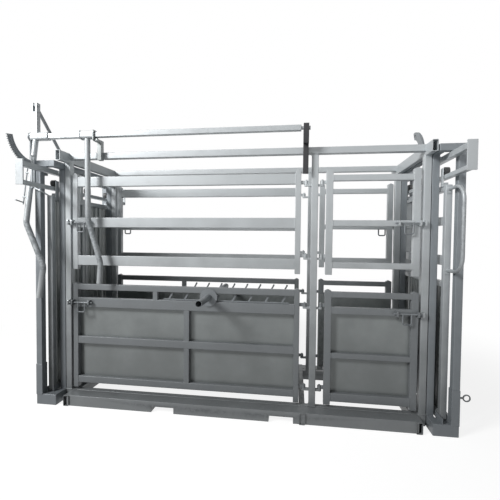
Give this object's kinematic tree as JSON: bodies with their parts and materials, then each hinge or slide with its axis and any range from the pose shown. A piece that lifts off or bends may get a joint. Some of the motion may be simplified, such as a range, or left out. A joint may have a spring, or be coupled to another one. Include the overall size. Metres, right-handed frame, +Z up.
{
  "type": "cattle crush",
  "caption": "Galvanised cattle crush with sliding head and rear gates, split side gates with slide bolts, a rump bar and a lever with linkage.",
  "frame": {"origin": "centre of the footprint on the ground plane", "axes": "+X from the head gate to the rear gate, minus Y towards the operator's side, +Z up"},
  "size_m": [3.3682, 1.49, 2.44],
  "materials": {
    "galvanised": "bright galvanised coating",
    "dull_galvanised": "dull galvanised coating",
    "sheet": "flat galvanised sheet",
    "dark_steel": "dark steel, worn"
  },
  "bodies": {
    "frame": {"body_frame": "galvanised", "middle_post_near": "galvanised", "middle_post_far": "galvanised", "head_frame": "galvanised", "head_channel": "galvanised", "rear_frame": "galvanised", "head_track": "dull_galvanised", "rear_track": "dull_galvanised", "quadrant": "dull_galvanised", "side_upright": "sheet", "rear_upright": "dark_steel", "lifting_lug": "dull_galvanised"},
    "lever": {"head_lever": "galvanised", "torque_bar": "galvanised", "side_handle": "galvanised"},
    "link": {"far_link": "dull_galvanised"},
    "ratchet": {"ratchet_rod": "dark_steel"},
    "head_leaf_near": {"head_leaf_near": "dull_galvanised", "head_leaf_sheet_near": "sheet"},
    "head_roller_outer_near": {"head_roller_outer_near": "dark_steel"},
    "head_roller_inner_near": {"head_roller_inner_near": "dark_steel"},
    "head_leaf_far": {"head_leaf_far": "dull_galvanised", "head_leaf_sheet_far": "sheet"},
    "head_roller_outer_far": {"head_roller_outer_far": "dark_steel"},
    "head_roller_inner_far": {"head_roller_inner_far": "dark_steel"},
    "rear_leaf_near": {"rear_leaf_near": "dull_galvanised", "rear_leaf_sheet_near": "sheet", "rear_pull_near": "galvanised"},
    "rear_roller_outer_near": {"rear_roller_outer_near": "dark_steel"},
    "rear_roller_inner_near": {"rear_roller_inner_near": "dark_steel"},
    "rear_leaf_far": {"rear_leaf_far": "dull_galvanised", "rear_leaf_sheet_far": "sheet", "rear_pull_far": "galvanised"},
    "rear_roller_outer_far": {"rear_roller_outer_far": "dark_steel"},
    "rear_roller_inner_far": {"rear_roller_inner_far": "dark_steel"},
    "gate_upper_left_near": {"gate_upper_left_near": "galvanised"},
    "bolt_upper_left_near": {"bolt_upper_left_near": "dull_galvanised"},
    "gate_lower_left_near": {"gate_lower_left_near": "galvanised", "sheet_left_near": "sheet", "rack_near": "dull_galvanised"},
    "bolt_lower_left_near": {"bolt_lower_left_near": "dull_galvanised"},
    "gate_upper_right_near": {"gate_upper_right_near": "galvanised"},
    "bolt_upper_right_near": {"bolt_upper_right_near": "dull_galvanised"},
    "gate_lower_right_near": {"gate_lower_right_near": "galvanised", "sheet_right_near": "sheet"},
    "bolt_lower_right_near": {"bolt_lower_right_near": "dull_galvanised"},
    "gate_upper_left_far": {"gate_upper_left_far": "galvanised"},
    "bolt_upper_left_far": {"bolt_upper_left_far": "dull_galvanised"},
    "gate_lower_left_far": {"gate_lower_left_far": "galvanised", "sheet_left_far": "sheet", "rack_far": "dull_galvanised"},
    "bolt_lower_left_far": {"bolt_lower_left_far": "dull_galvanised"},
    "gate_upper_right_far": {"gate_upper_right_far": "galvanised"},
    "bolt_upper_right_far": {"bolt_upper_right_far": "dull_galvanised"},
    "gate_lower_right_far": {"gate_lower_right_far": "galvanised", "sheet_right_far": "sheet"},
    "bolt_lower_right_far": {"bolt_lower_right_far": "dull_galvanised"},
    "rump_bar": {"rump_bar": "dull_galvanised"},
    "pull_pin_near": {"pull_pin_near": "galvanised"},
    "pull_pin_far": {"pull_pin_far": "galvanised"}
  },
  "joints": [
    {"name": "lever_swing", "type": "hinge", "parent": "frame", "child": "lever", "pos_m": [-1.63, -0.45, 2.17], "axis": [1, 0, 0], "range_deg": [-48, 0]},
    {"name": "link_pivot", "type": "hinge", "parent": "lever", "child": "link", "pos_m": [-1.63, -0.45, 2.42], "axis": [1, 0, 0], "range_deg": [0, 57.4]},
    {"name": "ratchet_pull", "type": "slide", "parent": "lever", "child": "ratchet", "axis": [0, -0.1564, -0.9877], "range_m": [0, 0.012], "stiffness_N_per_m": 500, "springref_m": -0.01},
    {"name": "head_leaf_near_slide", "type": "slide", "parent": "frame", "child": "head_leaf_near", "axis": [0, -1, 0], "range_m": [0, 0.2605]},
    {"name": "head_roller_outer_near_spin", "type": "hinge", "parent": "head_leaf_near", "child": "head_roller_outer_near", "pos_m": [-1.5235, -0.385, 1.8033], "axis": [1, 0, 0], "range_deg": [0, 533]},
    {"name": "head_roller_inner_near_spin", "type": "hinge", "parent": "head_leaf_near", "child": "head_roller_inner_near", "pos_m": [-1.5235, -0.06, 1.8033], "axis": [1, 0, 0], "range_deg": [0, 533]},
    {"name": "head_leaf_far_slide", "type": "slide", "parent": "frame", "child": "head_leaf_far", "axis": [0, 1, 0], "range_m": [0, 0.2605]},
    {"name": "head_roller_outer_far_spin", "type": "hinge", "parent": "head_leaf_far", "child": "head_roller_outer_far", "pos_m": [-1.5235, 0.385, 1.8033], "axis": [1, 0, 0], "range_deg": [-533, 0]},
    {"name": "head_roller_inner_far_spin", "type": "hinge", "parent": "head_leaf_far", "child": "head_roller_inner_far", "pos_m": [-1.5235, 0.06, 1.8033], "axis": [1, 0, 0], "range_deg": [-533, 0]},
    {"name": "rear_leaf_near_slide", "type": "slide", "parent": "frame", "child": "rear_leaf_near", "axis": [0, -1, 0], "range_m": [0, 0.26]},
    {"name": "rear_roller_outer_near_spin", "type": "hinge", "parent": "rear_leaf_near", "child": "rear_roller_outer_near", "pos_m": [1.5235, -0.385, 1.8533], "axis": [1, 0, 0], "range_deg": [0, 533]},
    {"name": "rear_roller_inner_near_spin", "type": "hinge", "parent": "rear_leaf_near", "child": "rear_roller_inner_near", "pos_m": [1.5235, -0.06, 1.8533], "axis": [1, 0, 0], "range_deg": [0, 533]},
    {"name": "rear_leaf_far_slide", "type": "slide", "parent": "frame", "child": "rear_leaf_far", "axis": [0, 1, 0], "range_m": [0, 0.26]},
    {"name": "rear_roller_outer_far_spin", "type": "hinge", "parent": "rear_leaf_far", "child": "rear_roller_outer_far", "pos_m": [1.5235, 0.385, 1.8533], "axis": [1, 0, 0], "range_deg": [-533, 0]},
    {"name": "rear_roller_inner_far_spin", "type": "hinge", "parent": "rear_leaf_far", "child": "rear_roller_inner_far", "pos_m": [1.5235, 0.06, 1.8533], "axis": [1, 0, 0], "range_deg": [-533, 0]},
    {"name": "gate_upper_left_near_swing", "type": "hinge", "parent": "frame", "child": "gate_upper_left_near", "pos_m": [0.5445, -0.355, 1.5], "axis": [0, 0, 1], "range_deg": [0, 0.8]},
    {"name": "bolt_upper_left_near_slide", "type": "slide", "parent": "gate_upper_left_near", "child": "bolt_upper_left_near", "axis": [-1, 0, 0], "range_m": [-0.025, 0.03]},
    {"name": "gate_lower_left_near_swing", "type": "hinge", "parent": "frame", "child": "gate_lower_left_near", "pos_m": [0.5445, -0.355, 0.55], "axis": [0, 0, 1], "range_deg": [0, 85]},
    {"name": "bolt_lower_left_near_slide", "type": "slide", "parent": "gate_lower_left_near", "child": "bolt_lower_left_near", "axis": [-1, 0, 0], "range_m": [-0.025, 0.03]},
    {"name": "gate_upper_right_near_swing", "type": "hinge", "parent": "frame", "child": "gate_upper_right_near", "pos_m": [0.663, -0.355, 1.5], "axis": [0, 0, -1], "range_deg": [0, 85]},
    {"name": "bolt_upper_right_near_slide", "type": "slide", "parent": "gate_upper_right_near", "child": "bolt_upper_right_near", "axis": [1, 0, 0], "range_m": [-0.025, 0.03]},
    {"name": "gate_lower_right_near_swing", "type": "hinge", "parent": "frame", "child": "gate_lower_right_near", "pos_m": [0.663, -0.355, 0.55], "axis": [0, 0, -1], "range_deg": [0, 85]},
    {"name": "bolt_lower_right_near_slide", "type": "slide", "parent": "gate_lower_right_near", "child": "bolt_lower_right_near", "axis": [1, 0, 0], "range_m": [-0.025, 0.03]},
    {"name": "gate_upper_left_far_swing", "type": "hinge", "parent": "frame", "child": "gate_upper_left_far", "pos_m": [0.5445, 0.355, 1.5], "axis": [0, 0, -1], "range_deg": [0, 85]},
    {"name": "bolt_upper_left_far_slide", "type": "slide", "parent": "gate_upper_left_far", "child": "bolt_upper_left_far", "axis": [-1, 0, 0], "range_m": [-0.025, 0.03]},
    {"name": "gate_lower_left_far_swing", "type": "hinge", "parent": "frame", "child": "gate_lower_left_far", "pos_m": [0.5445, 0.355, 0.55], "axis": [0, 0, -1], "range_deg": [0, 85]},
    {"name": "bolt_lower_left_far_slide", "type": "slide", "parent": "gate_lower_left_far", "child": "bolt_lower_left_far", "axis": [-1, 0, 0], "range_m": [-0.025, 0.03]},
    {"name": "gate_upper_right_far_swing", "type": "hinge", "parent": "frame", "child": "gate_upper_right_far", "pos_m": [0.663, 0.355, 1.5], "axis": [0, 0, 1], "range_deg": [0, 85]},
    {"name": "bolt_upper_right_far_slide", "type": "slide", "parent": "gate_upper_right_far", "child": "bolt_upper_right_far", "axis": [1, 0, 0], "range_m": [-0.025, 0.03]},
    {"name": "gate_lower_right_far_swing", "type": "hinge", "parent": "frame", "child": "gate_lower_right_far", "pos_m": [0.663, 0.355, 0.55], "axis": [0, 0, 1], "range_deg": [0, 85]},
    {"name": "bolt_lower_right_far_slide", "type": "slide", "parent": "gate_lower_right_far", "child": "bolt_lower_right_far", "axis": [1, 0, 0], "range_m": [-0.025, 0.03]},
    {"name": "rump_bar_slide", "type": "slide", "parent": "gate_lower_left_near", "child": "rump_bar", "axis": [0, 1, 0], "range_m": [-0.3, 0.003]},
    {"name": "pull_pin_near_slide", "type": "slide", "parent": "frame", "child": "pull_pin_near", "axis": [1, 0, 0], "range_m": [0, 0.06]},
    {"name": "pull_pin_far_slide", "type": "slide", "parent": "frame", "child": "pull_pin_far", "axis": [1, 0, 0], "range_m": [0, 0.06]}
  ],
  "couplings": [
    {"joint": "link_pivot", "follows": "lever_swing", "ratio": -1.1931},
    {"joint": "head_leaf_near_slide", "follows": "lever_swing", "m_per_rad": -0.31035},
    {"joint": "head_roller_outer_near_spin", "follows": "lever_swing", "ratio": -11.084},
    {"joint": "head_roller_inner_near_spin", "follows": "lever_swing", "ratio": -11.084},
    {"joint": "head_leaf_far_slide", "follows": "lever_swing", "m_per_rad": -0.31035},
    {"joint": "head_roller_outer_far_spin", "follows": "lever_swing", "ratio": 11.084},
    {"joint": "head_roller_inner_far_spin", "follows": "lever_swing", "ratio": 11.084},
    {"joint": "rear_roller_outer_near_spin", "follows": "rear_leaf_near_slide", "rad_per_m": 35.714},
    {"joint": "rear_roller_inner_near_spin", "follows": "rear_leaf_near_slide", "rad_per_m": 35.714},
    {"joint": "rear_roller_outer_far_spin", "follows": "rear_leaf_far_slide", "rad_per_m": -35.714},
    {"joint": "rear_roller_inner_far_spin", "follows": "rear_leaf_far_slide", "rad_per_m": -35.714}
  ]
}
